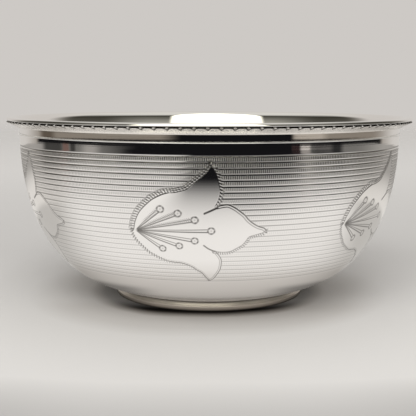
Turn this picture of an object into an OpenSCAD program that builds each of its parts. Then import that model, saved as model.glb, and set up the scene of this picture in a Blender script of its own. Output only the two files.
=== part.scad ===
// Offering bowl in polished white metal: a spun bowl with a turned-out lip, a notched moulding
// soldered under the lip, a bead wire round the neck and a ring foot. Fine lines are turned
// round the body and stop at the outlines of six lilies, all pointing the same way round.
// Millimetres, +Z up, origin on the table at the middle of the foot, one lily towards -Y.

/* [Overall] */
// Width across the lip
rim_d = 110; // [100:1:125]
// Height from the table to the top of the lip
bowl_h = 48.8; // [42:0.2:60]
// How far the lip stands out from the body
lip_w = 3.4; // [3:0.1:5]
// Thickness of the metal sheet
wall = 0.7; // [0.5:0.05:1]
// Radius of the bend where the body turns out into the lip
bend_r = 1.2; // [0.8:0.1:1.5]
// Thickness of the solder between the bowl and the moulding, bead and foot ring
solder_gap = 0.05; // [0.03:0.01:0.1]

/* [Body curve] */
// Gap between the table and the middle of the underside
base_gap = 0.8; // [0.4:0.1:3]
// How upright the sides are: higher is fuller
side_fullness = 3.58; // [2.6:0.02:4.6]
// How flat the base is: higher is flatter
base_fullness = 2.33; // [2:0.01:3]

/* [Engine-turned lines] */
// Number of turned lines
line_count = 25; // [8:1:28]
// Distance between lines along the surface
line_pitch = 1.35; // [1:0.05:1.5]
// Width of a turned line
line_w = 0.3; // [0.2:0.05:0.5]
// Depth of a turned line
line_depth = 0.14; // [0.05:0.01:0.25]
// Plain neck between the lip's underside and the first line
neck_h = 6.5; // [5.5:0.1:9]

/* [Lilies] */
// Number of lilies round the body
lily_count = 6; // [3:1:8]
// Width of a lily from its root to the tip of its middle petal
lily_w = 31.4; // [20:0.2:34]
// Distance from the first line down to the middle of a lily, along the surface
lily_drop = 17.4; // [16:0.1:20]

/* [Neck bead] */
// Height of the bead's wire
bead_w = 0.6; // [0.4:0.05:1]
// How far the bead stands out from the neck
bead_out = 0.3; // [0.2:0.05:0.5]
// Distance from the lip's underside down to the middle of the bead
bead_drop = 3.5; // [2.8:0.1:4.4]

/* [Notched moulding] */
// Height of the moulding under the lip
moulding_h = 1.9; // [1.4:0.1:2.2]
// How far the moulding's edge lies back from the lip's edge
moulding_inset = 0.15; // [0.05:0.05:0.4]
// Width of the step at the moulding's lower edge
moulding_step = 0.35; // [0.2:0.05:0.5]
// How far the moulding's slope is hollowed
cove_hollow = 0.05; // [0:0.05:0.3]
// Height of the upright face that carries the notches
face_h = 0.2; // [0.2:0.05:0.4]
// Height of the shadow line between the lip and the moulding
crease_h = 0.35; // [0.15:0.05:0.35]
// Depth of the shadow line
crease_depth = 0.5; // [0.3:0.05:0.7]
// Number of notches round the edge
notch_count = 116; // [60:2:132]
// Width of a notch at the edge
notch_w = 0.9; // [0.6:0.05:1.5]
// Depth of a notch
notch_depth = 0.45; // [0.2:0.05:0.5]
// Slope of the file that cuts the notches
notch_tilt = 38; // [25:1:50]

/* [Foot] */
// Width across the foot ring
foot_d = 52.4; // [40:0.2:60]
// Thickness of the foot ring at the table
foot_w = 1.6; // [1.2:0.1:2.5]
// How far the foot ring's side is rounded out
foot_bulge = 0.45; // [0.2:0.05:0.7]

/* [Hidden] */
$fn = 180;

// Radii
rim_r = rim_d / 2;
neck_r = rim_r - lip_w;
foot_r = foot_d / 2;
foot_top_r = foot_r - foot_bulge;
foot_in_r = foot_r - foot_w;

// Heights
lip_z = bowl_h - wall;
bend_z = lip_z - bend_r;
bead_z = lip_z - bead_drop;
moulding_z = lip_z - moulding_h;
lined_z = lip_z - neck_h;
curve_depth = bend_z - base_gap;

// Steps in the outlines
bend_steps = 8;
bead_steps = 8;
side_steps = 48;
under_steps = 5;
plain_steps = 6;
table_steps = 120;

// Angles
quarter_turn = 90;
half_turn = 180;

// The body's outer curve is a squared-off ellipse, from 0 degrees at the middle of the
// underside to 90 degrees where the bend of the lip begins
function curve(a) = [
    neck_r * pow(sin(a), 2 / side_fullness),
    bend_z - curve_depth * pow(cos(a), 2 / base_fullness)
];
function angle_at_r(r) = asin(pow(r / neck_r, side_fullness / 2));
function angle_at_z(z) = acos(pow((bend_z - z) / curve_depth, base_fullness / 2));

// Unit normal of the curve, pointing out of the bowl, from two neighbouring points
nudge = 0.01;
function outward(a) =
    let (d = curve(a + nudge) - curve(a - nudge))
    [d[1], -d[0]] / norm(d);
function sunk(a, depth) = curve(a) - depth * outward(a);

// Angle at a distance along the curve, measured down from the top edge of the first line
lined_a = angle_at_z(lined_z);
foot_a = angle_at_r(foot_top_r);
table_step = (lined_a - foot_a) / table_steps;
run_table = [
    for (i = 0, a = lined_a, s = 0; i <= table_steps;
         s = s + norm(curve(a) - curve(a - table_step)), a = a - table_step, i = i + 1)
        [s, a]
];
function angle_at_run(s) = lookup(s, run_table);

// Shift of a piece soldered to the side of the bowl
wall_seat = [solder_gap, 0];

// Outlines, each from the bottom up
last_a = angle_at_run((line_count - 1) * line_pitch + line_w);

under_points = [
    for (i = [0 : under_steps])
        i == 0 ? [0, base_gap] : curve(angle_at_r(foot_in_r * i / under_steps))
];
plain_points = [for (i = [0 : plain_steps - 1]) curve(foot_a + (last_a - foot_a) * i / plain_steps)];
lined_points = [
    for (i = [2 * (line_count - 1) : -1 : 0]) curve(angle_at_run(line_w / 2 + i * line_pitch / 2))
];
bead_low = curve(angle_at_z(bead_z - bead_w / 2));
bead_high = curve(angle_at_z(bead_z + bead_w / 2));
moulding_low = curve(angle_at_z(moulding_z));
bend_low = [neck_r, bend_z];
bend_c = [neck_r + bend_r, bend_z];
function bend_arc(r) = [
    for (i = [1 : bend_steps])
        let (t = quarter_turn * i / bend_steps)
        bend_c + r * [-cos(t), sin(t)]
];
edge_r = wall / 2;
edge_points = [
    for (i = [0 : bend_steps])
        let (t = half_turn * i / bend_steps - quarter_turn)
        [rim_r - edge_r + edge_r * cos(t), lip_z + edge_r + edge_r * sin(t)]
];
inner_points = [
    for (i = [side_steps - 1 : -1 : 1]) sunk(quarter_turn * i / side_steps, wall)
];

module spun_sheet() {
    top_arc = bend_arc(bend_r + wall);
    rotate_extrude()
        polygon(concat(
            under_points,
            plain_points,
            lined_points,
            [bead_low, bead_high, moulding_low, bend_low],
            bend_arc(bend_r),
            edge_points,
            [for (i = [bend_steps - 1 : -1 : 0]) top_arc[i]],
            [[neck_r - wall, bend_z]],
            inner_points,
            [[0, base_gap + wall]]
        ));
}

// A turned line is a V groove; its cutter stands out from the surface by line_over
line_over = 0.1;

module turned_line(i) {
    a = angle_at_run(i * line_pitch + line_w / 2);
    across = [outward(a)[1], -outward(a)[0]];
    flare = line_w / 2 * (line_depth + line_over) / line_depth;
    rotate_extrude()
        polygon([
            sunk(a, line_depth),
            sunk(a, -line_over) + flare * across,
            sunk(a, -line_over) - flare * across
        ]);
}

// Outline of a lily's upper petal and the upper half of its middle petal, from the root to the
// tip, as shares of its width: first round the bowl, then up from the lily's middle line
lily_shares = [
    [-0.589, 0], [-0.567, 0.032], [-0.516, 0.124], [-0.446, 0.207], [-0.357, 0.264],
    [-0.268, 0.296], [-0.191, 0.322], [-0.137, 0.354], [-0.096, 0.392], [-0.048, 0.443],
    [0.003, 0.506], [0.038, 0.465], [0.07, 0.411], [0.086, 0.354], [0.086, 0.293],
    [0.076, 0.245], [0.057, 0.207], [0.102, 0.204], [0.153, 0.191], [0.201, 0.162],
    [0.252, 0.111], [0.299, 0.064], [0.357, 0.029], [0.411, 0]
];
// The lower petal is a little shorter than the upper one
lower_share = 0.94;

// Point of a lily seen from the front: the outline lies on the curved side of the bowl
lily_r = curve(angle_at_run(lily_drop))[0];
function lily_point(share, up) =
    let (c = curve(angle_at_run(lily_drop - share[1] * up * lily_w)))
    [c[0] * sin(share[0] * lily_w / lily_r * half_turn / PI), c[1]];
lily_points = concat(
    [for (share = lily_shares) lily_point(share, 1)],
    [for (i = [len(lily_shares) - 2 : -1 : 1]) lily_point(lily_shares[i], -lower_share)]
);

// Block over a lily, from inside the bowl to outside its front
module lily() {
    rotate([quarter_turn, 0, 0])
        translate([0, 0, neck_r / 2])
            linear_extrude(height = neck_r)
                polygon(lily_points);
}

module bowl_shell() {
    color([0.86, 0.86, 0.84])
        difference() {
            spun_sheet();
            difference() {
                for (i = [0 : line_count - 1])
                    turned_line(i);
                for (i = [0 : lily_count - 1])
                    rotate(360 * i / lily_count)
                        lily();
            }
        }
}

// Filler moulding under the lip: a hollow curve up to a thin upright face, with V notches
// filed across its lower corner all the way round
face_r = rim_r - moulding_inset;
face_top_z = lip_z - crease_h;
face_low_z = face_top_z - face_h;
cove_r = neck_r + moulding_step;
cove_steps = 8;
cove_out = [face_r, face_low_z];
cove_in = [cove_r, moulding_z];
cove_chord = cove_in - cove_out;
cove_into = [cove_chord[1], -cove_chord[0]] / norm(cove_chord);
cove_points = [
    for (i = [0 : cove_steps])
        let (t = i / cove_steps)
        cove_out + t * cove_chord + cove_hollow * sin(half_turn * t) * cove_into
];
// Overrun and length of the cutter
notch_over = 1;
notch_len = 4;

module notch() {
    flare = notch_w / 2 * (notch_depth + notch_over) / notch_depth;
    translate([face_r, 0, face_low_z])
        rotate([0, notch_tilt, 0])
            linear_extrude(height = notch_len, center = true)
                polygon([[-notch_depth, 0], [notch_over, -flare], [notch_over, flare]]);
}

module rim_moulding() {
    color([0.88, 0.87, 0.83])
        difference() {
            rotate_extrude()
                polygon(concat(
                    [moulding_low + wall_seat, bend_low + wall_seat],
                    bend_arc(bend_r - solder_gap),
                    [
                        [face_r - crease_depth, lip_z - solder_gap],
                        [face_r - crease_depth, face_top_z],
                        [face_r, face_top_z]
                    ],
                    cove_points
                ));
            for (i = [0 : notch_count - 1])
                rotate(360 * i / notch_count)
                    notch();
        }
}

module neck_bead() {
    middle = (bead_low + bead_high) / 2 + wall_seat;
    color([0.93, 0.93, 0.92])
        rotate_extrude()
            polygon(concat(
                [bead_high + wall_seat],
                [
                    for (i = [1 : bead_steps - 1])
                        let (t = quarter_turn - half_turn * i / bead_steps)
                        middle + [bead_out * cos(t), bead_w / 2 * sin(t)]
                ],
                [bead_low + wall_seat]
            ));
}

module foot_ring() {
    seat_out = curve(foot_a) - [0, solder_gap];
    seat_in = curve(angle_at_r(foot_in_r)) - [0, solder_gap];
    half_h = seat_out[1] / 2;
    color([0.8, 0.78, 0.73])
        rotate_extrude()
            polygon(concat(
                [[foot_in_r, 0], [foot_top_r, 0]],
                [
                    for (i = [1 : bead_steps - 1])
                        let (t = half_turn * i / bead_steps - quarter_turn)
                        [foot_top_r + foot_bulge * cos(t), half_h + half_h * sin(t)]
                ],
                [seat_out, seat_in]
            ));
}

bowl_shell();
rim_moulding();
neck_bead();
foot_ring();
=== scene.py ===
"""Looks of the offering bowl: a spun silver bowl with a notched lip, engine turning and six engraved
lilies, on a plain pale table in soft studio light. Metres, +Z up, the camera on the -Y side."""

import bpy
import numpy as np
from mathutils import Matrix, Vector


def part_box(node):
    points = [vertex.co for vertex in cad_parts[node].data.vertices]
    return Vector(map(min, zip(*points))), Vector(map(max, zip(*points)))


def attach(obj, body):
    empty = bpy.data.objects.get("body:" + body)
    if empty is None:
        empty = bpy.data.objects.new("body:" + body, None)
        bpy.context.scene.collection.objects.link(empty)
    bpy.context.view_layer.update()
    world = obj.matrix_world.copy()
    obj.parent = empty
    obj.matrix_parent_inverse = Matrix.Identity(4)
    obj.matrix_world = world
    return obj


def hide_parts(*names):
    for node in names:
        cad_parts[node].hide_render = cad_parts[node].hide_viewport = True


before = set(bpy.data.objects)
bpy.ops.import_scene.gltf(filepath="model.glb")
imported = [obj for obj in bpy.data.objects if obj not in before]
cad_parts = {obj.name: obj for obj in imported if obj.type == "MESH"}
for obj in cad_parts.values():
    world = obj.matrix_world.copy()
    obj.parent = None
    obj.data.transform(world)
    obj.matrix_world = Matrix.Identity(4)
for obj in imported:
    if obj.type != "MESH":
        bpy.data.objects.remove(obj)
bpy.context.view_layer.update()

MM = 0.001
DEGREE = np.pi / 180

# Sizes of the bowl, the same as the construction's
shell_low, shell_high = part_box("bowl_shell")
rim_r = shell_high.x
bowl_h = shell_high.z
base_gap = shell_low.z
foot_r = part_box("foot_ring")[1].x
lip_w = 3.4 * MM
wall = 0.7 * MM
bend_r = 1.2 * MM
solder_gap = 0.05 * MM
side_fullness = 3.58
base_fullness = 2.33
neck_r = rim_r - lip_w
lip_z = bowl_h - wall
bend_z = lip_z - bend_r

# Engine-turned lines: line_w places them as the construction does, and turned_w is the cut's width.
# Their darkening, tarnish with painted shade, thins out over the fade_lines below the one at fade_from
line_count = 25
line_pitch = 1.35 * MM
line_w = 0.3 * MM
turned_w = 0.44 * MM
line_depth = 0.035 * MM
line_crown = 0.015 * MM
line_tarnish_and_shade = 0.75
fade_from = 8
fade_lines = 9
fade_share = 0.4
lined_z = lip_z - 6.5 * MM
tick_count = 660

# Bead, moulding and foot
bead_w = 0.44 * MM
bead_out = 0.3 * MM
bead_z = lip_z - 3.62 * MM
moulding_z = lip_z - 1.9 * MM
moulding_step = 0.35 * MM
cove_hollow = 0.05 * MM
face_r = rim_r - 0.15 * MM
face_top_z = lip_z - 0.44 * MM
face_low_z = face_top_z - 0.12 * MM
crease_depth = 0.5 * MM
notch_count = 116
notch_w = 0.95 * MM
notch_depth = 0.5 * MM
notch_tilt = 38 * DEGREE
notch_shift = 0.88
foot_w = 1.6 * MM
foot_bulge = 0.45 * MM
edge_r = 0.35 * MM

# Rounding of the lip's edge, and flare of the inner wall below the lip
edge_round = 0.5 * MM
edge_under = 0.08 * MM
flare = 0.48 * MM
flare_z = 42.5 * MM
flare_lean = 13.4

# Lilies: width from the root to the middle petal's tip, and distance from the first line down to
# the middle, along the surface
lily_w = 31.4 * MM
lily_drop = 17.4 * MM
lily_turns = np.array([0, 62, 121, 180, 239, 298]) * DEGREE
cut_depth = 0.06 * MM


# The turned side

def side_curve(a):
    """Radius and height of the body's outer side: a squared-off ellipse, with the angle a from 0 at
    the middle of the base to a quarter turn at the bend of the lip."""
    r = neck_r * np.sin(a) ** (2 / side_fullness)
    z = bend_z - (bend_z - base_gap) * np.cos(a) ** (2 / base_fullness)
    return np.stack([r, z], -1)


fine_angles = np.linspace(0, np.pi / 2, 40001)
fine_side = side_curve(fine_angles)
fine_steps = np.linalg.norm(np.diff(fine_side, axis=0), axis=1)
fine_run = np.concatenate([[0], np.cumsum(fine_steps)])
fine_run = np.interp(lined_z, fine_side[:, 1], fine_run) - fine_run
fine_tangent = np.gradient(fine_side, axis=0)
fine_tangent /= np.linalg.norm(fine_tangent, axis=1, keepdims=True)


def side_at(run, sink=0.0):
    """Point of the side at a distance down from the first line's top edge, along the surface, and
    sunk under it, and the direction outwards there. Both come from the finely stepped curve."""
    order = slice(None, None, -1)
    place = [np.interp(run, fine_run[order], fine_side[order, i]) for i in (0, 1)]
    along = [np.interp(run, fine_run[order], fine_tangent[order, i]) for i in (0, 1)]
    out = np.stack([along[1], -along[0]], -1)
    return np.stack(place, -1) - np.expand_dims(np.broadcast_to(sink, np.shape(run)), -1) * out, out


def run_at_height(z):
    """Distance down the side to a height."""
    return np.interp(z, fine_side[:, 1], fine_run)


def run_at_radius(r):
    """Distance down the side to a radius."""
    return np.interp(r, fine_side[:, 0], fine_run)


# Making meshes

SHARP = 32 * DEGREE

# Steps round a plain turned surface
turn_steps = 240


def new_piece(name, places, faces, slot, *nodes):
    """A mesh from its corners and faces, standing for CAD nodes and riding with the bowl."""
    mesh = bpy.data.meshes.new(name)
    mesh.from_pydata(places, [], faces)
    mesh.update()
    piece = bpy.data.objects.new(name, mesh)
    bpy.context.scene.collection.objects.link(piece)
    mesh.polygons.foreach_set("use_smooth", np.ones(len(mesh.polygons), bool))
    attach(piece, "root")
    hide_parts(*nodes)
    return piece


def mark(piece, label, values):
    """Stores a number at each corner of a piece, for its material to read."""
    layer = piece.data.attributes.new(label, "FLOAT", "POINT")
    layer.data.foreach_set("value", values.astype(np.float32))


def whole_turn(steps):
    """Equal steps of a whole turn."""
    return np.arange(steps) * 2 * np.pi / steps


def around(profile, turn):
    """Places of a profile of radii and heights, turned about Z from the -Y side towards +X."""
    r, z = profile[..., 0], profile[..., 1]
    return np.stack([r * np.sin(turn), -r * np.cos(turn), z + 0 * turn], -1)


def grid_faces(rows, columns, first=0, close_rows=False, close_columns=False):
    """Four-sided faces of a grid of corners, numbered along each row, with columns to the right and
    rows upwards when seen from outside."""
    i = np.arange(rows if close_rows else rows - 1)[:, None]
    j = np.arange(columns if close_columns else columns - 1)[None, :]
    up = (i + 1) % rows
    right = (j + 1) % columns
    corners = [i * columns + j, i * columns + right, up * columns + right, up * columns + j]
    return (first + np.stack(np.broadcast_arrays(*corners), -1)).reshape(-1, 4)


def turned_ring(name, profile, columns, slot, *nodes):
    """A closed ring: a closed outline, up on its outer side, swept round in equal steps."""
    places = around(profile[:, None, :], whole_turn(columns)[None, :])
    faces = grid_faces(len(profile), columns, close_rows=True, close_columns=True)
    piece = new_piece(name, places.reshape(-1, 3), faces.tolist(), slot, *nodes)
    piece.data.set_sharp_from_angle(angle=SHARP)
    return piece


def arc(middle, radius, start, end, steps):
    """Points of a circular arc, from one angle to another, both counted from outwards to up."""
    t = np.linspace(start, end, steps) * DEGREE
    return np.array(middle) + radius * np.stack([np.cos(t), np.sin(t)], -1)


# The spun bowl

# Depth of the seat that the engraved panels lie on, where they start, and their rows: twelve to a
# line, so that one row falls on each line's middle
SEAT = 0.35 * MM
lined_top = -0.4125 * MM
row_step = line_pitch / 12
panel_rows = 298
lined_end = lined_top + (panel_rows - 1) * row_step


def eased(start, end, steps):
    """Values from start to end, closer together near both."""
    return start + (end - start) * (1 - np.cos(np.linspace(0, np.pi, steps))) / 2


def spun_bowl():
    """One closed turned shell from the middle of the base, up the side, round the lip and down the
    inside, with a shallow seat where the engraved panels lie. The lip's edge is rounded from above,
    and the inner wall flares a little towards the lip. It has painted shade in the corner at the
    foot's joint, and is dull round it."""
    base = side_at(run_at_radius(np.linspace(0, foot_r - 2 * MM, 30)[1:]))[0]
    corner = side_at(run_at_radius(np.linspace(foot_r - 2 * MM, foot_r + 0.5 * MM, 30)[1:]))[0]
    below = side_at(eased(run_at_radius(foot_r + 0.7 * MM), lined_end, 40))[0]
    seat = side_at(np.linspace(lined_end, lined_top, 40), SEAT)[0]
    above = side_at(eased(lined_top, run_at_height(bend_z - 0.02 * MM), 24))[0]
    bend = arc((neck_r + bend_r, bend_z), bend_r, 180, 90, 14)
    t = np.linspace(0, np.pi / 2, 20)[:, None]
    round_middle = np.array([rim_r - edge_round, lip_z + edge_under])
    rounding = np.concatenate([edge_round * np.cos(t), (wall - edge_under) * np.sin(t)], 1)
    under_edge = [[rim_r - edge_under, lip_z]]
    top_r = bend_r + wall
    upright_z = np.linspace(bend_z + top_r * np.sin(flare_lean * DEGREE), bend_z, 8)
    upright = np.stack([np.full(8, neck_r - wall), upright_z], -1)
    inner_run = eased(run_at_height(bend_z - 0.05 * MM), run_at_radius(2 * MM), 150)
    inside_wall = np.concatenate([upright, side_at(inner_run, wall)[0]])
    risen = np.clip((inside_wall[:, 1] - flare_z) / (bend_z - flare_z), 0, None)
    inside_wall[:, 0] += flare * risen**2
    middle_r = inside_wall[0, 0] + top_r * np.cos(flare_lean * DEGREE)
    top_bend = arc((middle_r, bend_z), top_r, 90, 180 - flare_lean, 18)[:-1]
    profile = np.concatenate([
        base, corner, below, seat, above, bend, under_edge, round_middle + rounding, top_bend,
        inside_wall,
    ])
    columns = turn_steps
    places = around(profile[:, None, :], whole_turn(columns)[None, :]).reshape(-1, 3)
    count = len(places)
    poles = [[0, 0, base_gap], [0, 0, base_gap + wall]]
    j = np.arange(columns)
    right = (j + 1) % columns
    last = (len(profile) - 1) * columns
    low_fan = np.stack([np.full(columns, count), right, j], -1)
    high_fan = np.stack([last + j, last + right, np.full(columns, count + 1)], -1)
    sides = grid_faces(len(profile), columns, close_columns=True)
    faces = low_fan.tolist() + high_fan.tolist() + sides.tolist()
    bowl = new_piece("spun_bowl", np.concatenate([places, poles]), faces, "polished_sheet", "bowl_shell")
    bowl.data.set_sharp_from_angle(angle=SHARP)
    foot_corner = side_at(run_at_radius(foot_r - foot_bulge))[0]
    corner_gap = np.linalg.norm(profile - foot_corner, axis=1)
    # Painted shade in the corner at the foot's joint, and dullness round it
    marks = {"cut": 0.85 * groove(corner_gap, 0.7 * MM), "dull": groove(corner_gap, 30 * MM)}
    for label, values in marks.items():
        mark(bowl, label, np.concatenate([np.repeat(values, columns), [0, 0]]))
    return bowl


# The engraved lilies. Outlines are shares of a lily's width: round the bowl from the lily's middle
# towards its tip, and up from its middle line

upper_back_shares = [
    [-0.577, 0.003], [-0.555, 0.072], [-0.51, 0.152], [-0.432, 0.231], [-0.376, 0.269], [-0.304, 0.3],
    [-0.234, 0.31], [-0.165, 0.331], [-0.131, 0.36], [-0.097, 0.389], [-0.063, 0.419], [-0.029, 0.455],
    [0.009, 0.511],
]
upper_front_shares = [
    [0.009, 0.511], [0.03, 0.483], [0.052, 0.451], [0.065, 0.419], [0.075, 0.383], [0.083, 0.347],
    [0.087, 0.311], [0.084, 0.275], [0.075, 0.238], [0.064, 0.209], [0.054, 0.191],
]
middle_upper_shares = [
    [0.054, 0.191], [0.096, 0.201], [0.134, 0.202], [0.176, 0.181], [0.212, 0.154], [0.249, 0.122],
    [0.279, 0.085], [0.318, 0.052], [0.357, 0.029], [0.396, 0.015], [0.414, -0.002],
]
middle_lower_shares = [
    [0.414, -0.002], [0.4, -0.022], [0.356, -0.036], [0.297, -0.054], [0.277, -0.083], [0.25, -0.12],
    [0.207, -0.149], [0.163, -0.175], [0.117, -0.183], [0.079, -0.181], [0.041, -0.173],
]
lower_front_shares = [
    [0.041, -0.173], [0.077, -0.224], [0.09, -0.262], [0.089, -0.311], [0.08, -0.358], [0.054, -0.412],
    [0.029, -0.452], [-0.001, -0.475],
]
lower_back_shares = [
    [-0.001, -0.475], [-0.031, -0.431], [-0.063, -0.383], [-0.103, -0.353], [-0.134, -0.324],
    [-0.181, -0.299], [-0.228, -0.284], [-0.284, -0.279], [-0.332, -0.269], [-0.377, -0.247],
    [-0.422, -0.221], [-0.466, -0.192], [-0.5, -0.155], [-0.534, -0.116], [-0.557, -0.083],
    [-0.573, -0.042], [-0.577, 0.003],
]
upper_vein_shares = [[0.052, 0.181], [0.007, 0.158], [-0.034, 0.138]]
lower_vein_shares = [[0.041, -0.173], [-0.004, -0.151], [-0.041, -0.121]]
stamen_root_share = [-0.547, -0.008]
anther_shares = [
    [-0.345, 0.164], [-0.221, 0.135], [-0.103, 0.086], [0.014, 0], [-0.107, -0.083], [-0.225, -0.128],
    [-0.355, -0.155],
]


def smooth_line(shares, steps=12):
    """Points on a Catmull-Rom curve through the listed shares, in metres."""
    p = np.array(shares) * lily_w
    p = np.concatenate([[2 * p[0] - p[1]], p, [2 * p[-1] - p[-2]]])
    t = np.linspace(0, 1, steps, endpoint=False)[None, :, None]
    a, b, c, d = (p[i : len(p) - 3 + i, None, :] for i in range(4))
    curve = b + (c - a) * t / 2 + (a - 2.5 * b + 2 * c - d / 2) * t**2
    curve += (3 * b - a - 3 * c + d) * t**3 / 2
    return np.concatenate([curve.reshape(-1, 2), p[-2:-1]])


def beside(points, line):
    """Distance of points from an open line, which side of it they are on, positive to the left, and
    how far along it the nearest place is."""
    start, step = line[:-1], np.diff(line, axis=0)
    length = np.linalg.norm(step, axis=1)
    passed = np.concatenate([[0], np.cumsum(length)[:-1]])
    best = np.full(len(points), np.inf)
    offset = np.zeros(len(points))
    along = np.zeros(len(points))
    for s, d, size, before in zip(start, step, length, passed):
        rel = points - s
        t = np.clip((rel @ d) / size**2, 0, 1)
        gap = np.linalg.norm(rel - t[:, None] * d, axis=1)
        nearer = gap < best
        left = np.sign(d[0] * rel[:, 1] - d[1] * rel[:, 0])
        best = np.where(nearer, gap, best)
        offset = np.where(nearer, gap * left, offset)
        along = np.where(nearer, before + t * size, along)
    return best, offset, along


def inside(points, outline):
    """Whether points lie inside a closed outline, by counting the sides that a ray crosses."""
    odd = np.zeros(len(points), bool)
    for (x0, y0), (x1, y1) in zip(outline, np.roll(outline, -1, axis=0)):
        spans = (y0 > points[:, 1]) != (y1 > points[:, 1])
        rise = y1 - y0 if y1 != y0 else 1.0
        odd ^= spans & (points[:, 0] < x0 + (points[:, 1] - y0) * (x1 - x0) / rise)
    return odd


def groove(distance, width):
    """Round-bottomed cut, 1 deep at its middle and 0 at half its width: a raised cosine."""
    t = np.clip(np.abs(distance) / (width / 2), 0, 1)
    return 0.5 + 0.5 * np.cos(np.pi * t)


def strokes(offset, along, low, high, pitch, slant, width):
    """A row of short slanted cuts between two distances beside a line."""
    phase = (along + slant * offset) / pitch
    across = (phase - np.round(phase)) * pitch
    ends = np.clip((offset - low) / (0.1 * MM), 0, 1) * np.clip((high - offset) / (0.1 * MM), 0, 1)
    return groove(across, width) * ends


def stamen_cuts(points, number, share):
    """Depth of one stamen's cuts: two lines that part slowly from the root, hatched between on the
    upper three, and a dished ring at the anther."""
    root = np.array(stamen_root_share) * lily_w
    anther = np.array(share) * lily_w
    length = np.linalg.norm(anther - root)
    ahead = (anther - root) / length
    reach = length - 0.85 * MM
    rel = points - root
    along = rel @ ahead
    offset = rel[:, 1] * ahead[0] - rel[:, 0] * ahead[1]
    on_stem = np.clip(along / (0.5 * MM), 0, 1) * np.clip((reach - along) / (0.2 * MM) + 1, 0, 1)
    half = 0.34 * MM * np.clip(along / reach, 0, 1) ** 0.7
    hatch = strokes(offset, along, -half, half + 0.5 * MM, 0.46 * MM, 0.4, 0.27 * MM)
    hatched = 0.75 * np.clip(along / (2 * MM) - 1, 0, 1) * (number < 3)
    bearing = np.arctan2(points[:, 1] - anther[1], points[:, 0] - anther[0])
    away = np.linalg.norm(points - anther, axis=1)
    uneven = 0.8 + 0.2 * np.sin(5 * bearing + number)
    return np.max([
        0.85 * on_stem * groove(offset - half, 0.33 * MM), on_stem * groove(offset + half, 0.42 * MM),
        hatched * on_stem * hatch, uneven * groove(away - 0.76 * MM, 0.66 * MM),
        0.3 * groove(away, 0.9 * MM),
    ], axis=0)


def lily_cuts(points):
    """Depth of a lily's engraving as a share of cut_depth, and whether each point is on its petals.
    A rope of short cuts runs along the back of the upper petal and turns into three lines towards
    its tip, and coarser cuts run down its front. The middle petal has a double line above and fine
    hatching below, and the lower petal a double line, with short cuts along its back that deepen
    towards the root. A short vein runs in from each notch between the petals, and the stamens meet
    in a wedge at the root."""
    cuts = np.zeros(len(points))

    def cut(depth):
        nonlocal cuts
        cuts = np.maximum(cuts, depth)

    _, offset, along = beside(points, smooth_line(upper_back_shares))
    to_tip = np.clip((along - 13.5 * MM) / (1.5 * MM), 0, 1)
    rope = strokes(offset, along, -0.55 * MM, 0.7 * MM, 0.66 * MM, 0.3, 0.4 * MM)
    cut((1 - 0.3 * to_tip) * rope)
    cut((1 - to_tip) * groove(offset + 0.5 * MM, 0.36 * MM))
    cut(0.6 * (1 - to_tip) * groove(offset - 0.7 * MM, 0.3 * MM))
    for line in (-0.52, -0.06, 0.4):
        cut(to_tip * groove(offset - line * MM, 0.3 * MM))
    _, offset, along = beside(points, smooth_line(upper_front_shares))
    cut(strokes(offset, along, -0.55 * MM, 0.5 * MM, 0.76 * MM, -0.7, 0.46 * MM))
    cut(0.6 * groove(offset + 0.45 * MM, 0.3 * MM))
    _, offset, along = beside(points, smooth_line(middle_upper_shares))
    cut(groove(offset - 0.04 * MM, 0.42 * MM))
    cut(0.75 * groove(offset + 0.5 * MM, 0.3 * MM))
    _, offset, along = beside(points, smooth_line(middle_lower_shares))
    cut(0.7 * groove(offset + 0.1 * MM, 0.28 * MM))
    cut(0.9 * strokes(offset, along, -0.2 * MM, 0.7 * MM, 0.52 * MM, 0.2, 0.32 * MM))
    _, offset, along = beside(points, smooth_line(lower_front_shares))
    cut(0.9 * groove(offset - 0.16 * MM, 0.36 * MM))
    cut(0.6 * groove(offset + 0.3 * MM, 0.28 * MM))
    _, offset, along = beside(points, smooth_line(lower_back_shares))
    near_root = np.clip((along - 12 * MM) / (3 * MM), 0, 1)
    cut((1 - 0.45 * near_root) * groove(offset, 0.38 * MM))
    cut(0.4 * (1 - near_root) * groove(offset + 0.42 * MM, 0.24 * MM))
    rope = strokes(offset, along, -0.35 * MM, 0.6 * MM, 0.66 * MM, 0.5, 0.38 * MM)
    cut((0.35 + 0.65 * near_root) * rope)
    for shares, width in ((upper_vein_shares, 0.7), (lower_vein_shares, 0.55)):
        cut(groove(beside(points, smooth_line(shares))[0], width * MM))
    for number, share in enumerate(anther_shares):
        cut(stamen_cuts(points, number, share))
    rel = points - np.array(stamen_root_share) * lily_w
    wedge = np.clip(1 - np.abs(rel[:, 0] - 0.7 * MM) / (0.9 * MM), 0, 1)
    cut(wedge * groove(rel[:, 1] + 0.06 * rel[:, 0], 0.7 * MM))
    outline = np.concatenate([
        smooth_line(shares)[:-1]
        for shares in (
            upper_back_shares, upper_front_shares, middle_upper_shares,
            middle_lower_shares, lower_front_shares, lower_back_shares,
        )
    ])
    return cuts, inside(points, outline)


def lined_height(run):
    """The two parts of the engine turning: how far the lands stand under the plain side, crowned by a
    parabola from line to line, and the depth of the round cut at each line as a share."""
    place = (run - line_w / 2) / line_pitch
    share = place - np.floor(place)
    lined = (place > 0) & (place < line_count - 1)
    crown = np.where(lined, -line_crown * (2 * share - 1) ** 2, 0)
    nearest = np.clip(np.round(place), 0, line_count - 1)
    cut = groove((place - nearest) * line_pitch, turned_w)
    return crown, cut


# Engraved panels

lily_from, lily_to = -22.7 * DEGREE, 16.3 * DEGREE
fine_columns, plain_columns, back_rows = 272, 18, 13


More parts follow.
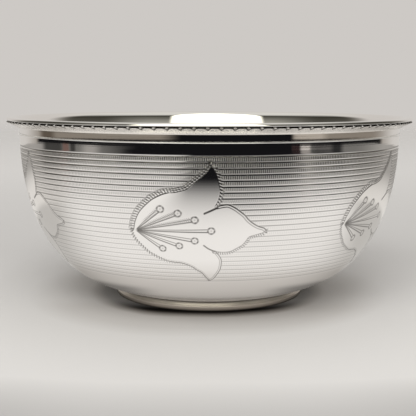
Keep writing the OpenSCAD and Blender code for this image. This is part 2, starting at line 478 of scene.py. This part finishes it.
def panel_shape():
    """Turns from the lily's middle, runs, heights and marks of a panel's fine part, over the lily."""
    turn = np.linspace(lily_from, lily_to, fine_columns + 1)
    run = lined_top + np.arange(panel_rows)[::-1] * row_step
    lily_r = side_at(np.array([lily_drop]))[0][0, 0]
    t, s = np.meshgrid(turn, run)
    points = np.stack([t.ravel() * lily_r, lily_drop - s.ravel()], -1)
    reach = 0.62 * lily_w
    near = (np.abs(points) < reach).all(axis=1)
    cuts, petals = np.zeros(len(points)), np.zeros(len(points))
    cuts[near], petals[near] = lily_cuts(points[near])
    cuts, petals = cuts.reshape(t.shape), petals.reshape(t.shape)
    crown, line_cut = lined_height(s)
    lined = 1 - petals
    height = lined * (crown - line_depth * line_cut)
    height = np.minimum(height, -cut_depth * cuts)
    # How dark the cuts are painted, tarnish with painted shade, fading lower down
    fading = 1 - fade_share * np.clip((s / line_pitch - fade_from) / fade_lines, 0, 1)
    marks = np.maximum(lined * line_cut * fading * line_tarnish_and_shade, cuts)
    return t, s, height, lined, marks


def widened(grid, columns):
    """Repeats a grid's first and last columns, to carry it past its fine part on both sides."""
    return np.pad(grid, ((0, 0), (columns, columns)), "edge")


def whole_panel(number, shape):
    """Turns, runs, heights and marks of one panel, from midway between its lily and the last one to
    midway between it and the next one: fine over the lily, and coarser beside it."""
    turns = np.concatenate([lily_turns[-1:] - 2 * np.pi, lily_turns, lily_turns[:1] + 2 * np.pi])
    last, own, following = turns[number : number + 3]
    fine = shape[0][0] + own
    turn = np.concatenate([
        np.linspace((last + own) / 2, fine[0], plain_columns, endpoint=False), fine,
        np.linspace((own + following) / 2, fine[-1], plain_columns, endpoint=False)[::-1],
    ])
    s, height, lined, marks = (widened(grid, plain_columns) for grid in shape[1:])
    return np.broadcast_to(turn, s.shape), s, height, lined, marks


def panel_places(t, s, height):
    """Places and normals of a panel's grid: the side pushed out by the height, and the cross product
    of its slopes round and up."""
    point, out = side_at(s)
    surface = around(point + height[..., None] * out, t)
    round_slope = np.gradient(surface, axis=1)
    up_slope = np.gradient(surface, axis=0)
    normal = np.cross(round_slope, up_slope)
    return surface, normal / np.linalg.norm(normal, axis=-1, keepdims=True)


def skirt(fine, coarse):
    """Triangles between a finely stepped edge and a coarse one, with the fine one on the right."""
    match = np.rint(np.arange(len(fine)) * (len(coarse) - 1) / (len(fine) - 1)).astype(int)
    fans = np.stack([fine[:-1], fine[1:], coarse[match[:-1]]], -1)
    steps = np.flatnonzero(np.diff(match))
    links = np.stack([fine[steps + 1], coarse[match[steps + 1]], coarse[match[steps]]], -1)
    return np.concatenate([fans, links])


def engraved_panel(number, shape):
    """One closed panel: the engraved outer grid, a plain back on the shell's seat, and its edges."""
    t, s, height, lined, marks = whole_panel(number, shape)
    rows, columns = t.shape
    surface, normal = panel_places(t, s, height)
    back_run = np.linspace(s[0, 0], s[-1, 0], back_rows)
    back = around(side_at(back_run, SEAT)[0][:, None, :], t[0][None, :])
    outer = np.arange(rows * columns).reshape(rows, columns)
    inner = outer.size + np.arange(back_rows * columns).reshape(back_rows, columns)
    quads = [
        grid_faces(rows, columns),
        grid_faces(back_rows, columns, outer.size)[:, ::-1],
        np.stack([inner[0, :-1], inner[0, 1:], outer[0, 1:], outer[0, :-1]], -1),
        np.stack([outer[-1, :-1], outer[-1, 1:], inner[-1, 1:], inner[-1, :-1]], -1),
    ]
    right_side = skirt(outer[:, -1], inner[:, -1])[:, ::-1]
    left_side = skirt(outer[:, 0], inner[:, 0])
    faces = np.concatenate(quads).tolist() + left_side.tolist() + right_side.tolist()
    places = np.concatenate([surface.reshape(-1, 3), back.reshape(-1, 3)])
    name = f"engraved_panel_{number + 1}"
    panel = new_piece(name, places, faces, "polished_sheet", "bowl_shell")
    mesh = panel.data
    mesh.set_sharp_from_angle(angle=60 * DEGREE)
    corner = np.zeros(len(mesh.loops), np.int32)
    mesh.loops.foreach_get("vertex_index", corner)
    flat = np.zeros((len(mesh.loops), 3), np.float32)
    mesh.corner_normals.foreach_get("vector", flat.ravel())
    outer_corners = 4 * (rows - 1) * (columns - 1)
    flat[:outer_corners] = normal.reshape(-1, 3)[corner[:outer_corners]]
    mesh.normals_split_custom_set(flat)
    spread = np.concatenate([t.ravel() / (2 * np.pi), np.tile(t[0] / (2 * np.pi), back_rows)])
    drop = np.concatenate([s.ravel(), np.repeat(back_run, columns)]) / line_pitch
    wrap = mesh.uv_layers.new(name="around")
    wrap.uv.foreach_set("vector", np.stack([spread, drop], -1)[corner].astype(np.float32).ravel())
    for label, values in (("lined", lined), ("cut", marks)):
        mark(panel, label, np.concatenate([values.ravel(), np.zeros(inner.size)]))
    return panel


# The rings

def notched_moulding():
    """The moulding's outline swept round, with each point that stands inside a V notch pushed back
    along the file's slope onto the notch's two flats. Columns lie closer together at the notches.
    Painted shade fills the crease above it and the edges and bottom of each notch."""
    notch_turn = 2 * np.pi / notch_count
    apart = face_r * notch_turn
    fine_half = 0.55 * MM / apart
    near = np.linspace(-fine_half, fine_half, 13)
    between = np.linspace(fine_half, 1 - fine_half, 5)[1:-1]
    across = np.concatenate([near, between])
    turn = ((np.arange(notch_count)[:, None] + across[None, :] + notch_shift) * notch_turn).ravel()
    across = np.tile(np.where(across > 0.5, across - 1, across), notch_count) * apart
    columns = len(turn)
    wall_low = side_at(run_at_height(np.array([moulding_z])))[0][0] + [solder_gap, 0]
    bend = arc((neck_r + bend_r, bend_z), bend_r - solder_gap, 180, 90, 7)
    t = np.linspace(0, np.pi / 2, 6)
    face_round = face_top_z - face_low_z
    face = np.stack([face_r - face_round * (1 - np.cos(t)), face_top_z - face_round * np.sin(t)], -1)
    t = np.linspace(0, 1, 30)[1:, None]
    cove_out = face[-1]
    chord = np.array([neck_r + moulding_step, moulding_z]) - cove_out
    into = np.array([chord[1], -chord[0]]) / np.linalg.norm(chord)
    cove = cove_out + t * chord + cove_hollow * np.sin(np.pi * t) * into
    crease_r = face_r - crease_depth
    crease = np.array([
        [crease_r, lip_z - solder_gap], [crease_r, face_top_z],
        [face_r - 0.5 * crease_depth, face_top_z], [face_r - 0.06 * MM, face_top_z],
    ])
    outline = np.concatenate([[wall_low], bend, crease, face[1:], cove])[::-1]
    # Painted shade in the crease between the lip and the moulding's face
    crease_shade = np.concatenate([np.zeros(1 + len(bend)), [1, 1, 1, 0.9], np.zeros(len(face) - 1 + len(cove))])
    profile = np.repeat(outline[:, None, :], columns, axis=1)
    file_way = np.array([np.cos(notch_tilt), -np.sin(notch_tilt)])
    reach = (profile - cove_out) @ file_way
    flats = -notch_depth * (1 - np.abs(across)[None, :] / (notch_w / 2))
    fileable = profile[..., 0] > face_r - 2.5 * notch_depth
    pushed = np.where(fileable, np.maximum(reach - flats, 0), 0)
    profile = profile - pushed[..., None] * file_way
    edge = np.abs(across)[None, :] - notch_w / 2 * (1 + reach / notch_depth)
    # Painted shade along the notches' edges and bottoms, and less in the crease where a notch opens it
    notch_edge_shade = np.where(fileable & (reach > -notch_depth), groove(edge + 0.04 * MM, 0.5 * MM), 0)
    notch_bottom_shade = np.where(pushed > 0, groove(across, 0.22 * MM)[None, :], 0)
    open_there = groove(across, 1.1 * notch_w)[None, :]
    painted_shade = crease_shade[::-1, None] * (1 - 0.6 * open_there)
    painted_shade = np.maximum(painted_shade, np.maximum(notch_edge_shade, 0.5 * notch_bottom_shade))
    places = around(profile, turn[None, :])
    faces = grid_faces(len(outline), columns, close_rows=True, close_columns=True)
    piece = new_piece(
        "notched_moulding", places.reshape(-1, 3), faces.tolist(), "moulding_wire", "rim_moulding"
    )
    piece.data.set_sharp_from_angle(angle=24 * DEGREE)
    mark(piece, "cut", np.clip(painted_shade, 0, 1).ravel())
    return piece


def bead_wire():
    """Wire on the neck, dressed to a slope above and round below."""
    ends = side_at(run_at_height(bead_z + bead_w / 2 * np.array([-1, 1])))[0] + [solder_gap, 0]
    middle = ends.mean(axis=0)
    t = np.linspace(-90, 20, 10)[1:] * DEGREE
    low = middle + np.stack([bead_out * np.cos(t), bead_w / 3 * np.sin(t) - bead_w / 6], -1)
    front = np.concatenate([low, low[-1] + np.linspace(0, 0.94, 4)[1:, None] * (ends[1] - low[-1])])
    outline = np.concatenate([ends[:1], front, ends[1:]])
    return turned_ring("bead_wire", outline, 360, "bead_wire", "neck_bead")


def ring_foot():
    """Foot ring: a slope out from under the bowl to a small rounded edge, a face below it that leans
    in a little, and a top fitted to the curved base. Painted shade lies along its top and bottom."""
    top_r = foot_r - foot_bulge
    in_r = foot_r - foot_w
    seat = side_at(run_at_radius(np.linspace(top_r, in_r, 6)))[0] - [0, solder_gap]
    top_z = seat[0, 1]
    edge_z = 0.46 * top_z
    edge = arc((foot_r - edge_r, edge_z), edge_r, -8, 62, 9)
    low = np.linspace([top_r + 0.1 * MM, 0.1 * MM], edge[0], 6)
    low = np.insert(low, 0, [top_r, 0], axis=0)
    high = edge[-1] + np.linspace(0, 1, 7)[1:, None] * ([top_r, top_z] - edge[-1])
    outline = np.concatenate([[[in_r, 0]], low[:-1], edge, high[:-1], seat])
    # Painted shade along the top, where the ring meets the bowl, and along the bottom, where it stands
    # on the table
    from_top = np.abs(top_z - outline[:, 1]) * (outline[:, 0] >= top_r) / (0.6 * MM)
    from_low = np.abs(outline[:, 1]) / (0.5 * MM)
    painted_shade = np.maximum(0.9 * np.clip(1 - from_top, 0, 1), np.clip(1 - from_low, 0, 1))
    ring = turned_ring("ring_foot", outline, turn_steps, "foot_strip", "foot_ring")
    mark(ring, "cut", np.repeat(painted_shade, turn_steps))
    return ring


# Shader maths

class Value:
    """A number in a shader. Sums, products and powers with it add Math nodes."""

    def __init__(self, paint, socket):
        self.paint = paint
        self.socket = socket

    def maths(self, operation, *others):
        inputs = dict(enumerate((self, *others)))
        return self.paint.node("ShaderNodeMath", {"operation": operation}, inputs)

    def swapped(self, operation, other):
        return self.paint.node("ShaderNodeMath", {"operation": operation}, {0: other, 1: self})

    def __add__(self, other):
        return self.maths("ADD", other)

    def __radd__(self, other):
        return self.swapped("ADD", other)

    def __sub__(self, other):
        return self.maths("SUBTRACT", other)

    def __rsub__(self, other):
        return self.swapped("SUBTRACT", other)

    def __mul__(self, other):
        return self.maths("MULTIPLY", other)

    def __rmul__(self, other):
        return self.swapped("MULTIPLY", other)

    def __truediv__(self, other):
        return self.maths("DIVIDE", other)

    def __pow__(self, other):
        return self.maths("POWER", other)


class Paint:
    """The node tree of one material or of the surroundings."""

    def __init__(self, tree):
        self.tree = tree
        tree.nodes.clear()

    def node(self, kind, settings=None, inputs=None, output=0):
        """Adds a node: first its settings, a ramp's stops among them, then the values or links of its
        sockets. Gives one of its outputs."""
        made = self.tree.nodes.new(kind)
        for name, value in (settings or {}).items():
            if name == "stops":
                marks = made.color_ramp.elements
                for end, stop in ((marks[0], value[0]), (marks[1], value[-1])):
                    end.position, end.color = stop
                for position, colour in value[1:-1]:
                    marks.new(position).color = colour
            else:
                setattr(made, name, value)
        for name, value in (inputs or {}).items():
            if isinstance(value, Value):
                self.tree.links.new(value.socket, made.inputs[name])
            else:
                made.inputs[name].default_value = value
        return Value(self, made.outputs[output]) if len(made.outputs) else None

    def mix(self, factor, first, second):
        """Colour between two colours."""
        return self.node(
            "ShaderNodeMix", {"data_type": "RGBA", "clamp_factor": True},
            {"Factor": factor, 6: first, 7: second}, 2,
        )

    def shaded(self, colour, shade):
        """Product of two colours."""
        return self.node(
            "ShaderNodeMix", {"data_type": "RGBA", "blend_type": "MULTIPLY"},
            {"Factor": 1.0, 6: colour, 7: shade}, 2,
        )

    def smooth(self, value, low, high, start=0.0, end=1.0):
        """Smooth step from start to end as the value goes from low to high."""
        return self.node(
            "ShaderNodeMapRange", {"interpolation_type": "SMOOTHSTEP"},
            {"Value": value, "From Min": low, "From Max": high, "To Min": start, "To Max": end},
        )

    def parts(self, vector):
        """The three parts of a vector."""
        return [self.node("ShaderNodeSeparateXYZ", inputs={0: vector}, output=i) for i in range(3)]

    def place(self):
        """The three parts of a point's place in the object's own coordinates."""
        return self.parts(self.node("ShaderNodeTexCoord", output=3))

    def marked(self, label):
        """The number that mark() stored on the piece."""
        return self.node("ShaderNodeAttribute", {"attribute_name": label}, output=2)

    def glow(self, colour):
        """Ends the tree with a plain light-giving surface."""
        light = self.node("ShaderNodeEmission", inputs={"Color": colour, "Strength": 1.0})
        self.node("ShaderNodeOutputMaterial", inputs={"Surface": light})


def new_material(name):
    """An empty material and its paint."""
    material = bpy.data.materials.new(name)
    material.use_nodes = True
    return material, Paint(material.node_tree)


SILVER = (0.945, 0.92, 0.90, 1)
SMUDGED = (0.88, 0.865, 0.85, 1)
SMUDGED_LINES = (0.88, 0.87, 0.85, 1)
TARNISH_AND_SHADE = (0.16, 0.15, 0.14, 1)
CUT_DARK = (0.045, 0.038, 0.032, 1)
# Colour of the painted shade in corners, creases and notches
PAINTED_SHADE_COLOUR = (0.03, 0.025, 0.02, 1)


def turned_noise(paint, scale, round_scale):
    """Noise drawn out round the bowl's axis, as turning and buffing leave it: fine across the
    surface and slow round it."""
    x, y, z = paint.place()
    radius = (x * x + y * y) ** 0.5
    stretched = {0: radius * scale, 1: z * scale, 2: x * round_scale}
    across = paint.node("ShaderNodeCombineXYZ", inputs=stretched)
    return paint.node("ShaderNodeTexNoise", inputs={"Vector": across, "Scale": 1.0, "Detail": 2.0})


def smudges(paint, scale):
    """Soft patches, about a centimetre wide at a scale of 100."""
    place = paint.node("ShaderNodeTexCoord", output=3)
    return paint.node("ShaderNodeTexNoise", inputs={"Vector": place, "Scale": scale, "Detail": 3.0})


def metal(paint, colour, roughness, height, distance):
    """Polished metal with a colour, roughness and bump that vary over the surface."""
    bump = paint.node("ShaderNodeBump", inputs={"Strength": 1.0, "Distance": distance, "Height": height})
    surface = paint.node(
        "ShaderNodeBsdfPrincipled", {"distribution": "MULTI_GGX"},
        {"Base Color": colour, "Roughness": roughness, "Normal": bump, "Metallic": 1.0},
    )
    paint.node("ShaderNodeOutputMaterial", inputs={"Surface": surface})


def polished_sheet():
    """Mirror-polished silver with faint buffing lines and soft smudges, duller near the foot."""
    material, paint = new_material("polished_silver_sheet")
    patches = smudges(paint, 90)
    lines = turned_noise(paint, 3400, 14)
    cut = paint.marked("cut")
    dull = paint.marked("dull")
    colour = paint.mix(patches * 0.5, SILVER, SMUDGED)
    # Painted shade where the piece is marked: the corner at the foot's joint
    colour = paint.mix(cut, colour, PAINTED_SHADE_COLOUR)
    metal(paint, colour, 0.022 + patches * 0.03 + cut * 0.2 + dull * 0.42, lines, 0.003 * MM)
    return material


def engraved_sheet():
    """The same silver, engine-turned: softer where it is lined, with fine upright ticks along each
    land, grey with tarnish and painted shade, and dark in the cuts with tarnish and painted shade."""
    material, paint = new_material("engraved_silver_sheet")
    turn, drop, _ = paint.parts(paint.node("ShaderNodeUVMap", {"uv_map": "around"}))
    lined = paint.marked("lined")
    cut = paint.marked("cut")
    half_line = line_w / 2 / line_pitch
    place = (drop - half_line).maths("FRACT")
    band = paint.smooth(place, 0.22, 0.34) * paint.smooth(place, 0.78, 0.66)
    field = paint.smooth(drop, half_line, half_line + 0.1)
    field = field * paint.smooth(drop, line_count - 1 + half_line, line_count - 1.1 + half_line)
    wave = paint.smooth((turn * (2 * np.pi * tick_count)).maths("SINE"), -0.6, 0.6)
    on_land = band * field * lined
    ticks = wave * on_land * paint.smooth(drop, 5.5, 11.5, 1.0, 0.22)
    patches = smudges(paint, 90)
    lines = turned_noise(paint, 2600, 8)
    colour = paint.mix(patches * 0.5, SILVER, SMUDGED_LINES)
    # Ticks and cuts darkened: tarnish, with painted shade in their hollows
    colour = paint.mix(ticks * 0.44 + on_land * 0.03, colour, TARNISH_AND_SHADE)
    colour = paint.mix(cut * 0.9, colour, CUT_DARK)
    roughness = 0.045 + patches * 0.04 + lined * field * 0.03 + ticks * 0.4 + cut * 0.2
    metal(paint, colour, roughness, ticks * -17 + lines, 0.0012 * MM)
    return material


def ring_metal(name, colour, roughness):
    """Polished wire or strip, a little duller than the sheet, with fine drawing lines round it and
    painted shade in its cuts and corners."""
    material, paint = new_material(name)
    patches = smudges(paint, 160)
    lines = turned_noise(paint, 5200, 30)
    cut = paint.marked("cut")
    shade = paint.mix(patches * 0.5, colour, tuple(0.88 * c for c in colour[:3]) + (1,))
    # Painted shade where the piece is marked: crease, notches, and the foot's top and bottom
    shade = paint.mix(cut, shade, PAINTED_SHADE_COLOUR)
    metal(paint, shade, roughness + patches * 0.04 + cut * 0.2, lines, 0.0015 * MM)
    return material


def dress(piece, material):
    """Gives a piece its one material."""
    piece.data.materials.clear()
    piece.data.materials.append(material)


# The object

sheet, engraved = polished_sheet(), engraved_sheet()
dress(spun_bowl(), sheet)
shape = panel_shape()
for number in range(len(lily_turns)):
    dress(engraved_panel(number, shape), engraved)
dress(notched_moulding(), ring_metal("moulding_silver", (0.98, 0.95, 0.91, 1), 0.22))
dress(bead_wire(), ring_metal("bead_silver", (0.97, 0.965, 0.95, 1), 0.05))
# The foot's silver is darker and warmer than the sheet's, a painted shade for its place under the bowl
dress(ring_foot(), ring_metal("foot_silver", (0.76, 0.70, 0.63, 1), 0.3))


# The studio

def stage_piece(name, places, faces, paint_it, reflected_only=True):
    """A surface round the object: one that only the metal's reflections see, or the table, which the
    camera sees and the reflections don't."""
    mesh = bpy.data.meshes.new(name)
    mesh.from_pydata(places, [], faces)
    piece = bpy.data.objects.new(name, mesh)
    bpy.context.scene.collection.objects.link(piece)
    material, paint = new_material(name)
    paint_it(paint)
    mesh.materials.append(material)
    mesh.polygons.foreach_set("use_smooth", np.ones(len(mesh.polygons), bool))
    for ray in ("camera", "diffuse", "shadow", "transmission"):
        setattr(piece, "visible_" + ray, not reflected_only)
    piece.visible_glossy = reflected_only


def disc(radius, height, sides=96):
    """A flat many-sided disc."""
    turn = whole_turn(sides)
    places = np.stack([radius * np.sin(turn), radius * np.cos(turn), np.full(sides, height)], -1)
    return places.tolist(), [list(range(sides))[::-1]]


BACKDROP = (0.610, 0.584, 0.558, 1)
TABLE = (0.775, 0.773, 0.765, 1)
BLACK = (0.007, 0.007, 0.008, 1)
UNLIT = (0, 0, 0, 1)
UNSHADED = (1, 1, 1, 1)
room_r = 0.4
table_r = 1.5


def table_top(paint):
    """Pale matt table, shaded round the foot and behind the bowl, that fades into the backdrop."""
    x, y, z = paint.place()
    distance = (x * x + y * y) ** 0.5
    # Painted shade: a broad shadow behind the bowl, light falling off in front and at the front corners,
    # and a contact shadow round the foot, a little thicker at the left
    behind = paint.smooth(y, -0.03, 0.06, 1.0, 0.79) * paint.smooth(y, 0.08, 0.40, 1.0, 1.17)
    nearby = paint.smooth(y, -0.045, -0.054, 1.0, 1.25) * paint.smooth(y, -0.056, -0.105, 1.0, 0.58)
    front_corners = paint.smooth(x.maths("ABSOLUTE"), 0.015, 0.05) * paint.smooth(y, -0.06, -0.09)
    nearby = nearby * (1 - 0.11 * front_corners)
    thicker = 0.0018 * paint.smooth(x, -0.002, -0.018) + 0.0007 * paint.smooth(x, 0.008, 0.018)
    shade = foot_shade(paint, distance - thicker, table_shades)
    shade = paint.mix(paint.smooth(y, -0.024, -0.012, 0, 0.5), shade, UNSHADED)
    lit = paint.mix(behind * nearby, UNLIT, TABLE)
    colour = paint.shaded(lit, shade)
    matt = paint.node("ShaderNodeBsdfDiffuse", inputs={"Color": colour, "Roughness": 0.5})
    clear = paint.node("ShaderNodeBsdfTransparent")
    fade = paint.smooth(distance, 0.5, 1.4)
    both = paint.node("ShaderNodeMixShader", inputs={0: fade, 1: matt, 2: clear})
    paint.node("ShaderNodeOutputMaterial", inputs={"Surface": both})


ROOM_SIDE = (0.17, 0.165, 0.155, 1)
ROOM_BEHIND = (0.36, 0.345, 0.325, 1)

# Upright things in the room, as the polished neck shows them: from and to, in degrees from the front
# towards the right, softness of the edges, and colour
room_bars = [
    (-106, -87.5, 3.5, (0.055, 0.053, 0.050)), (-87.5, -82.5, 1.2, (0.17, 0.11, 0.095)),
    (-81.5, -77.5, 1.2, (0.050, 0.048, 0.045)), (-72, -62, 4.0, (0.34, 0.325, 0.305)),
    (44, 49, 0.5, (0.040, 0.024, 0.024)), (49.3, 55, 1.2, (0.60, 0.56, 0.52)),
    (57, 72, 3.0, (0.11, 0.105, 0.10)), (69, 76.5, 2.5, (0.028, 0.028, 0.028)),
]


def bar(paint, azimuth, start, end, soft):
    """1 between two directions and 0 outside them, with soft edges."""
    begun = paint.smooth(azimuth, start - soft, start + soft)
    return begun * paint.smooth(azimuth, end + soft, end - soft)


def room_at_table(paint, azimuth):
    """The room at the height of the table, in one direction: grey at the sides, paler behind, black
    in front, and a few upright things between."""
    off_front = azimuth.maths("ABSOLUTE")
    tone = paint.mix(paint.smooth(off_front, 84, 122), ROOM_SIDE, ROOM_BEHIND)
    front = paint.smooth(azimuth, -66, -36) * paint.smooth(azimuth, 46, 43.5)
    tone = paint.mix(front, tone, BLACK)
    for start, end, soft, colour in room_bars:
        tone = paint.mix(bar(paint, azimuth, start, end, soft), tone, (*colour, 1))
    return tone


# Shade that the bowl casts round its foot, on the table and as the bowl itself sees it: distance
# from the middle, and share of the light left
table_shades = [
    (0, 0.01), (0.0266, 0.01), (0.0276, 0.06), (0.0285, 0.19), (0.0295, 0.36), (0.0305, 0.51),
    (0.0314, 0.66), (0.0324, 0.76), (0.0343, 0.77), (0.0379, 0.80), (0.0414, 0.84), (0.0448, 0.92),
    (0.0490, 1.0),
]
reflected_shades = [
    (0, 0.03), (0.0262, 0.20), (0.0268, 0.40), (0.028, 0.50), (0.030, 0.56), (0.034, 0.62),
    (0.040, 0.68), (0.046, 0.90), (0.052, 1.0),
]


def foot_shade(paint, radius, shades):
    """Share of the light left on the table at a distance from the bowl's middle, a little warmer
    where it is darker."""
    reach = shades[-1][0]
    stops = []
    for distance, share in shades:
        warmth = 0.08 * (1 - share)
        stops.append((distance / reach, (share * (1 + warmth), share, share * (1 - warmth), 1)))
    return paint.node("ShaderNodeValToRGB", {"stops": stops}, {0: radius / reach})


SEEN_ASIDE = (0.53, 0.515, 0.49, 1)
SEEN_FURTHER = (0.74, 0.715, 0.68, 1)
SEEN_IN_FRONT = (0.88, 0.865, 0.84, 1)


def reflected_table(paint):
    """How the bowl sees the table: palest in front, shaded round the foot, dark beyond a nearby edge
    in front, and turning into the room's tones further away."""
    # A glowing disc that only reflections see, with the table's reflection painted on it, painted shade
    # round the foot and dark zones in front
    x, y, z = paint.place()
    azimuth = x.maths("ARCTAN2", y * -1.0) / DEGREE
    radius = (x * x + y * y) ** 0.5
    aside = paint.mix(paint.smooth(radius, 0.105, 0.125), SEEN_ASIDE, SEEN_FURTHER)
    pale = paint.mix(paint.smooth(y, 0.0, -0.045), aside, SEEN_IN_FRONT)
    pale = paint.shaded(pale, foot_shade(paint, radius, reflected_shades))
    # Painted shade beside the foot
    beside_foot = paint.smooth(x.maths("ABSOLUTE"), 0.012, 0.025) * paint.smooth(radius, 0.036, 0.031)
    pale = paint.mix(beside_foot * 0.5, pale, BLACK)
    softness = paint.smooth(y, -0.16, -0.11, 0.0025, 0.016)
    left = paint.smooth((x + 0.0335) / softness, 1.0, -1.0)
    far = paint.smooth(radius - left * 0.04, 0.12, 0.26)
    table = paint.mix(far, pale, room_at_table(paint, azimuth))
    near_edge = paint.smooth(y, -0.062, -0.170) * paint.smooth(x, 0.17, 0.10, 0.55, 1.0)
    ahead = paint.smooth(azimuth.maths("ABSOLUTE"), 50, 40)
    far_edge = paint.smooth(y + left * 0.033, -0.190, -0.245) * ahead
    dark = (1 - left) * near_edge
    paint.glow(paint.mix(dark.maths("MAXIMUM", far_edge), table, BLACK))


WALL_SIDE = (0.25, 0.22, 0.185, 1)
WALL_BEHIND = (0.62, 0.595, 0.565, 1)
WALL_RIGHT = (0.44, 0.395, 0.34, 1)
WALL_LEFT = (0.11, 0.09, 0.07, 1)
DIM_HIGH = (0.036, 0.034, 0.026, 1)
DIM_LOW = (0.62, 0.60, 0.53, 1)
DIM_BESIDE = (0.46, 0.45, 0.40, 1)
CEILING = (0.70, 0.69, 0.65, 1)
WINDOW = (2.2, 2.16, 1.84, 1)


def tent_walls(paint):
    """What the bowl reflects all round above the table: a black room in front with a broad window
    over it, grey walls low down at the sides and pale ones behind, dimness over the sides, and a
    pale ceiling."""
    # A glowing dome that only reflections see, with the room painted on it: a painted window highlight,
    # painted dark and dim zones, and a painted ceiling
    x, y, z = paint.place()
    azimuth = x.maths("ARCTAN2", y * -1.0) / DEGREE
    off_front = azimuth.maths("ABSOLUTE")
    radius = (x * x + y * y) ** 0.5
    height = z.maths("ARCTAN2", radius) / DEGREE
    wall = paint.mix(paint.smooth(off_front, 100, 135), WALL_SIDE, WALL_BEHIND)
    wall = paint.mix(bar(paint, azimuth, 45, 64, 4), wall, WALL_RIGHT)
    wall = paint.mix(bar(paint, azimuth, -108, -95, 4), wall, WALL_LEFT)
    low_edge = paint.smooth(off_front, 108, 150, 0.026, 0.075)
    dim = paint.smooth(z - low_edge, 0.0, 0.008) * paint.smooth(off_front, 140, 108)
    beside_window = paint.smooth(off_front, 88, 42) * paint.smooth(height, 37, 17)
    dimness = paint.mix(paint.smooth(height, 33, 16, 0, 0.1), DIM_HIGH, DIM_LOW)
    dimness = paint.mix(beside_window * 0.8, dimness, DIM_BESIDE)
    wall = paint.mix(dim, wall, dimness)
    front = paint.smooth(azimuth, -27, -14) * paint.smooth(azimuth, 46, 43)
    front = front.maths("MAXIMUM", paint.smooth(off_front, 52, 46) * paint.smooth(z, 0.028, 0.036))
    lifted = height + 2.2 * paint.smooth(azimuth, -14, -17)
    wall = paint.mix(front * paint.smooth(lifted, 17, 13), wall, BLACK)
    gap_edge = paint.smooth(off_front, 45, 110, 0.0070, 0.0125)
    gap = paint.smooth(z, 0.0190, 0.0180) * paint.smooth(off_front, 116, 110)
    wall = paint.mix(gap, wall, BLACK)
    wall = paint.mix(paint.smooth(z - gap_edge, 0.0005, -0.0005), wall, room_at_table(paint, azimuth))
    wall = paint.mix(paint.smooth(height, 35, 66), wall, CEILING)
    window = bar(paint, azimuth, -39.5, 28.5, 2.5)
    window = window * paint.smooth(height, 14.5, 18.0) * paint.smooth(height, 88, 84)
    wall = paint.mix(window, wall, WINDOW)
    paint.glow(wall)


def dome(radius, rows=48, columns=96):
    """A half sphere open at the floor."""
    height = np.linspace(0, np.pi / 2, rows)[:, None]
    turn = np.linspace(0, 2 * np.pi, columns + 1)[None, :]
    places = radius * np.stack([
        np.cos(height) * np.sin(turn), -np.cos(height) * np.cos(turn), np.sin(height) + 0 * turn
    ], -1)
    return places.reshape(-1, 3).tolist(), grid_faces(rows, columns + 1)[:, ::-1].tolist()


def area_light(name, place, size, power, colour):
    """A soft square light aimed at the bowl, kept out of its reflections."""
    lamp = bpy.data.lights.new(name, "AREA")
    lamp.shape = "SQUARE"
    lamp.size = size
    lamp.energy = power
    lamp.color = colour
    light = bpy.data.objects.new(name, lamp)
    light.location = place
    aim = -np.array(place)
    pitch = np.arctan2(np.hypot(aim[0], aim[1]), -aim[2])
    turn = np.arctan2(aim[1], aim[0]) - np.pi / 2
    light.rotation_euler = (pitch, 0, turn)
    light.visible_glossy = False
    bpy.context.scene.collection.objects.link(light)


stage_piece("table_top", *disc(table_r, 0), table_top, reflected_only=False)
stage_piece("reflected_table", *disc(room_r, 0.02 * MM), reflected_table)
stage_piece("tent_walls", *dome(room_r), tent_walls)

world = bpy.data.worlds.new("backdrop")
bpy.context.scene.world = world
world.use_nodes = True
air = Paint(world.node_tree)
plain = air.node("ShaderNodeBackground", inputs={0: BACKDROP, 1: 1.0})
air.node("ShaderNodeOutputWorld", inputs={0: plain})

LAMP = (1.0, 0.99, 0.975)
area_light("window", (-0.15, -0.75, 0.85), 0.7, 3.4, LAMP)
area_light("ceiling", (0.1, 0.2, 1.1), 0.9, 2.8, LAMP)


# The camera, fitted to the photograph's turned lines, lip and foot

FRAME_SIDE = 416
focal_px = 857
centre_px = 209.5
camera_back = 238.9 * MM
camera_high = 55.7 * MM
camera_down = 7.78 * DEGREE
camera_roll = -0.0017
eye = bpy.data.cameras.new("camera")
camera = bpy.data.objects.new("camera", eye)
camera.location = (0, -camera_back, camera_high)
camera.rotation_euler = (90 * DEGREE - camera_down, camera_roll, 0)
eye.sensor_width = 36
eye.lens = focal_px / FRAME_SIDE * eye.sensor_width
eye.shift_x = -(centre_px - FRAME_SIDE / 2) / FRAME_SIDE
bpy.context.scene.collection.objects.link(camera)
bpy.context.scene.camera = camera
bpy.context.scene.view_settings.view_transform = "Standard"
